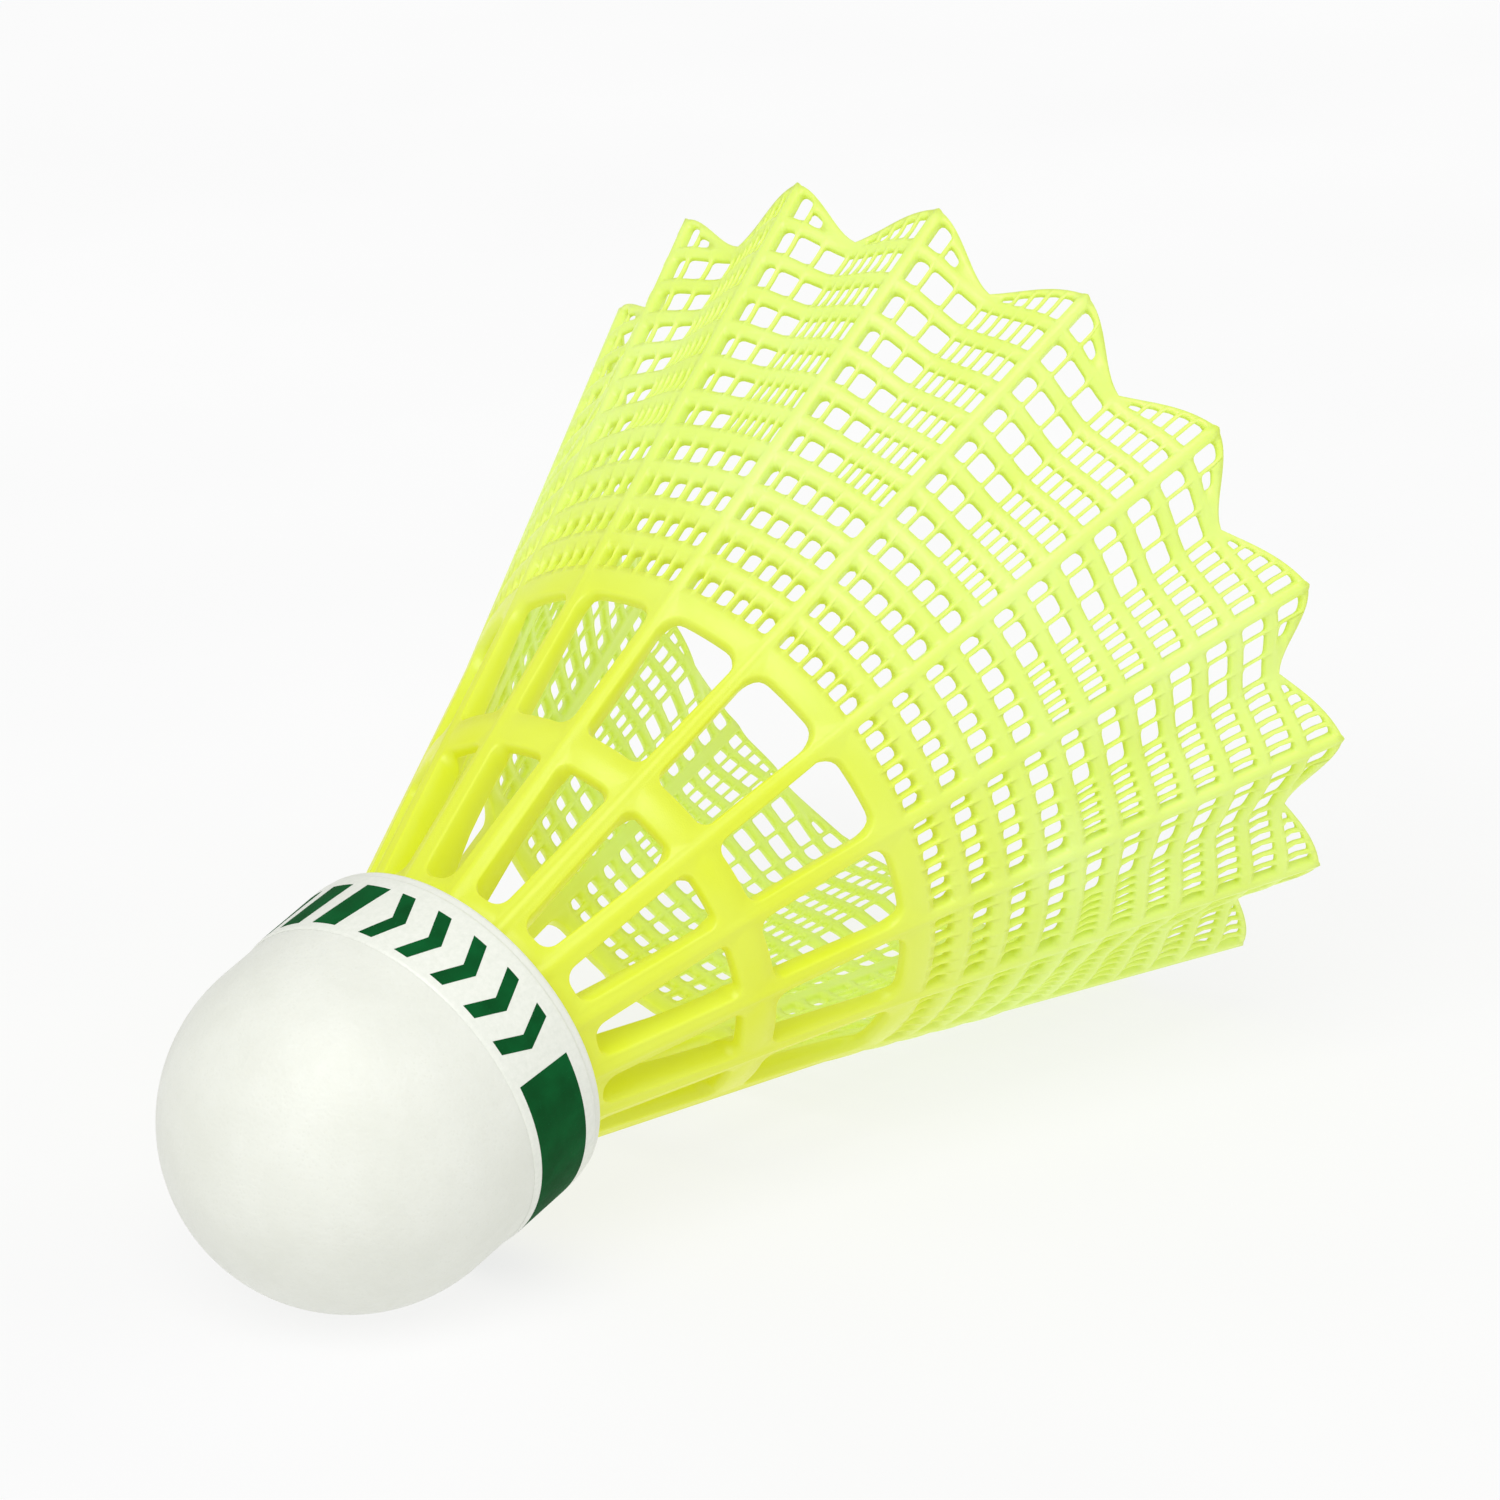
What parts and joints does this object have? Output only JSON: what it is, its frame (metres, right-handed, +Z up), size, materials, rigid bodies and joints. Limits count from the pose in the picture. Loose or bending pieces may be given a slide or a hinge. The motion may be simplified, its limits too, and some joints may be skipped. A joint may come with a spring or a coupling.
{
  "type": "badminton shuttlecock",
  "caption": "Synthetic badminton shuttlecock: rounded white cork base with a green printed tape band and a one-piece fluorescent yellow nylon skirt with open stems and a pleated perforated vane",
  "frame": {"origin": "bottom centre of the bounding box, on the surface that the shuttlecock lies on", "axes": "+Z up, +X along the lying shuttlecock from its nose towards its mouth, +Y to its side; the shuttlecock's own axis rises 15.3 degrees from +X, and two neighbouring tips and the dome touch Z = 0"},
  "size_m": [0.0902, 0.066, 0.0637],
  "materials": {
    "cork": "bare pressed cork, fine dark granules",
    "cover_skin": "smooth white polyurethane skin, satin",
    "tape": "thin white tape with a dark green printed pattern",
    "glue": "hardened clear amber adhesive",
    "nylon": "translucent fluorescent yellow nylon, satin"
  },
  "bodies": {
    "root": {"cork_core": "cork", "cork_cover": "cover_skin", "tape_band": "tape", "glue_film": "glue", "skirt": "nylon"}
  },
  "joints": []
}
